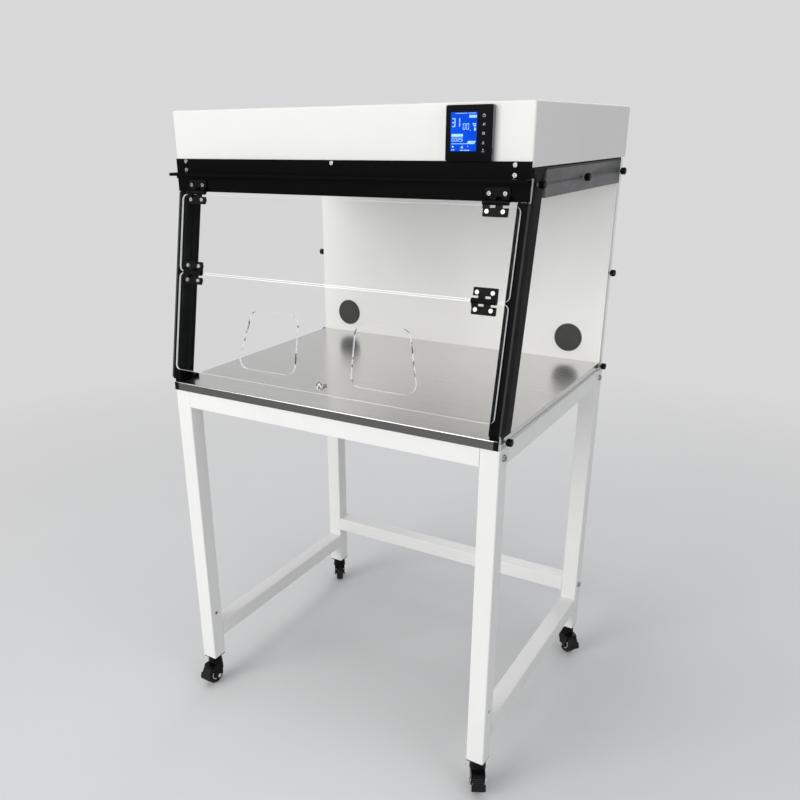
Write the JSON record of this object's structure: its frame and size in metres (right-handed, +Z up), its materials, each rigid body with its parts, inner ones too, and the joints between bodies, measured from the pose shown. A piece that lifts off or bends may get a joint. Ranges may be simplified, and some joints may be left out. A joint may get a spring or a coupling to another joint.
{
  "type": "laminar flow hood",
  "caption": "Free-standing clean-air bench: clear-sided work chamber with folding front sash and arm holes, fan and filter casing on top, tube stand on braked casters.",
  "frame": {"origin": "on the floor under the centre of the stand's four legs", "axes": "+Z up, the open front with the sash faces -Y, +X to the right of the person at work"},
  "size_m": [0.8361, 0.6924, 1.4025],
  "materials": {
    "black_metal": "satin black",
    "black_plastic": "matt",
    "casing_white": "satin powder coat",
    "caster_black": "satin black",
    "clear_knob": "faceted clear plastic",
    "clear_panel": "clear, polished edges",
    "clear_sash": "clear, polished edges",
    "controller_black": "glossy",
    "controller_grey": "satin",
    "dark_grey_plastic": "matt",
    "diffuser_metal": "satin anodised",
    "display_blue": "lit liquid crystal",
    "filter_grey": "galvanised grey",
    "filter_media": "pleated glass paper in a metal frame",
    "frame_white": "satin powder coat",
    "gasket": "foam rubber",
    "hinge_black": "satin black",
    "impeller_metal": "pressed sheet",
    "inlet_black": "matt",
    "lamp_white": "frosted cover",
    "motor_metal": "cast",
    "panel_white": "satin powder coat",
    "pedal_black": "matt",
    "prefilter_foam": "coarse fibre mat",
    "screw_steel": "plated",
    "stainless": "brushed",
    "tyre_black": "matt rubber"
  },
  "bodies": {
    "cabinet": {"back_panel": "panel_white", "casing": "casing_white", "casing_gasket": "gasket", "caster_stems": "caster_black", "controller_body": "controller_grey", "controller_display": "display_blue", "controller_face": "controller_black", "corner_caps": "black_plastic", "diffuser": "diffuser_metal", "fan_bar": "casing_white", "fan_motor": "motor_metal", "fascia": "black_metal", "fascia_ledge": "black_metal", "fascia_screws": "screw_steel", "filter_box": "filter_grey", "frame_bolts": "screw_steel", "grommet_caps": "dark_grey_plastic", "hepa_filter": "filter_media", "inlet_tray": "casing_white", "intake_grille": "casing_white", "lamp": "lamp_white", "leg_front_left": "frame_white", "leg_front_right": "frame_white", "leg_rear_left": "frame_white", "leg_rear_right": "frame_white", "post_left": "black_metal", "post_right": "black_metal", "power_inlet": "inlet_black", "prefilter": "prefilter_foam", "rail_low_rear": "frame_white", "rail_top_front": "frame_white", "rail_top_rear": "frame_white", "side_panel_left": "clear_panel", "side_panel_right": "clear_panel", "side_rails_low": "frame_white", "side_rails_top": "frame_white", "thumb_knobs": "black_plastic", "top_hinge_fixed_leaves": "hinge_black", "worktop": "stainless"},
    "upper_sash": {"sash_upper": "clear_sash", "top_hinge_moving_leaves": "hinge_black", "middle_hinge_upper_leaves": "hinge_black", "upper_sash_screws": "screw_steel"},
    "lower_sash": {"sash_lower": "clear_sash", "sash_knob": "clear_knob", "middle_hinge_lower_leaves": "hinge_black", "lower_sash_screws": "screw_steel"},
    "fan_wheel": {"fan_impeller": "impeller_metal"},
    "caster_front_left": {"caster_fork_front_left": "caster_black"},
    "wheel_front_left": {"caster_wheel_front_left": "tyre_black"},
    "pedal_front_left": {"brake_pedal_front_left": "pedal_black"},
    "caster_front_right": {"caster_fork_front_right": "caster_black"},
    "wheel_front_right": {"caster_wheel_front_right": "tyre_black"},
    "pedal_front_right": {"brake_pedal_front_right": "pedal_black"},
    "caster_rear_left": {"caster_fork_rear_left": "caster_black"},
    "wheel_rear_left": {"caster_wheel_rear_left": "tyre_black"},
    "pedal_rear_left": {"brake_pedal_rear_left": "pedal_black"},
    "caster_rear_right": {"caster_fork_rear_right": "caster_black"},
    "wheel_rear_right": {"caster_wheel_rear_right": "tyre_black"},
    "pedal_rear_right": {"brake_pedal_rear_right": "pedal_black"}
  },
  "joints": [
    {"name": "upper_sash_hinge", "type": "hinge", "parent": "cabinet", "child": "upper_sash", "pos_m": [0, -0.25919, 1.24069], "axis": [-1, 0, 0], "range_deg": [0, 80]},
    {"name": "lower_sash_hinge", "type": "hinge", "parent": "upper_sash", "child": "lower_sash", "pos_m": [0, -0.29204, 1.07644], "axis": [-1, 0, 0], "range_deg": [0, 125]},
    {"name": "fan_spin", "type": "hinge", "parent": "cabinet", "child": "fan_wheel", "pos_m": [0, 0.0594, 1.297], "axis": [0, 0, 1], "continuous": true},
    {"name": "caster_swivel_front_left", "type": "hinge", "parent": "cabinet", "child": "caster_front_left", "pos_m": [-0.378, -0.302, 0.054], "axis": [0, 0, 1], "continuous": true},
    {"name": "wheel_spin_front_left", "type": "hinge", "parent": "caster_front_left", "child": "wheel_front_left", "pos_m": [-0.37856, -0.30998, 0.025], "axis": [0.9976, -0.0698, 0], "continuous": true},
    {"name": "brake_pedal_front_left", "type": "hinge", "parent": "caster_front_left", "child": "pedal_front_left", "pos_m": [-0.3796, -0.32494, 0.0502], "axis": [0.9976, -0.0698, 0], "range_deg": [0, 10]},
    {"name": "caster_swivel_front_right", "type": "hinge", "parent": "cabinet", "child": "caster_front_right", "pos_m": [0.378, -0.302, 0.054], "axis": [0, 0, 1], "continuous": true},
    {"name": "wheel_spin_front_right", "type": "hinge", "parent": "caster_front_right", "child": "wheel_front_right", "pos_m": [0.38188, -0.309, 0.025], "axis": [0.8746, 0.4848, 0], "continuous": true},
    {"name": "brake_pedal_front_right", "type": "hinge", "parent": "caster_front_right", "child": "pedal_front_right", "pos_m": [0.38915, -0.32212, 0.0502], "axis": [0.8746, 0.4848, 0], "range_deg": [0, 10]},
    {"name": "caster_swivel_rear_left", "type": "hinge", "parent": "cabinet", "child": "caster_rear_left", "pos_m": [-0.378, 0.302, 0.054], "axis": [0, 0, 1], "continuous": true},
    {"name": "wheel_spin_rear_left", "type": "hinge", "parent": "caster_rear_left", "child": "wheel_rear_left", "pos_m": [-0.38259, 0.30855, 0.025], "axis": [-0.8192, -0.5736, 0], "continuous": true},
    {"name": "brake_pedal_rear_left", "type": "hinge", "parent": "caster_rear_left", "child": "pedal_rear_left", "pos_m": [-0.39119, 0.32084, 0.0502], "axis": [-0.8192, -0.5736, 0], "range_deg": [0, 10]},
    {"name": "caster_swivel_rear_right", "type": "hinge", "parent": "cabinet", "child": "caster_rear_right", "pos_m": [0.378, 0.302, 0.054], "axis": [0, 0, 1], "continuous": true},
    {"name": "wheel_spin_rear_right", "type": "hinge", "parent": "caster_rear_right", "child": "wheel_rear_right", "pos_m": [0.3843, 0.29707, 0.025], "axis": [0.6157, 0.788, 0], "continuous": true},
    {"name": "brake_pedal_rear_right", "type": "hinge", "parent": "caster_rear_right", "child": "pedal_rear_right", "pos_m": [0.39612, 0.28784, 0.0502], "axis": [0.6157, 0.788, 0], "range_deg": [0, 10]}
  ]
}
